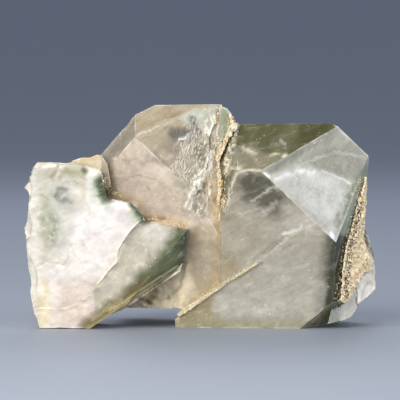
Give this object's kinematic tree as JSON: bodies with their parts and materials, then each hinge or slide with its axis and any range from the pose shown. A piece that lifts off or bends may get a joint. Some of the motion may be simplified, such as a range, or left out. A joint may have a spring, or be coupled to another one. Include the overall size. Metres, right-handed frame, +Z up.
{
  "type": "quartz specimen",
  "caption": "Cluster of intergrown quartz crystals with flat natural faces and tan crust in the seams, resting on its own flat base.",
  "frame": {"origin": "middle of the cluster's bounding box, on the surface it rests on", "axes": "+X along the cluster to its right, +Y away from its front, +Z up"},
  "size_m": [0.0886, 0.0608, 0.0565],
  "materials": {
    "quartz": "translucent quartz, milky to grey-green, with glassy natural faces",
    "crust": "dry granular iron-stained crust"
  },
  "bodies": {
    "root": {"quartz_cluster": "quartz", "crust_right": "crust", "crust_seam": "crust", "crust_foot": "crust"}
  },
  "joints": []
}
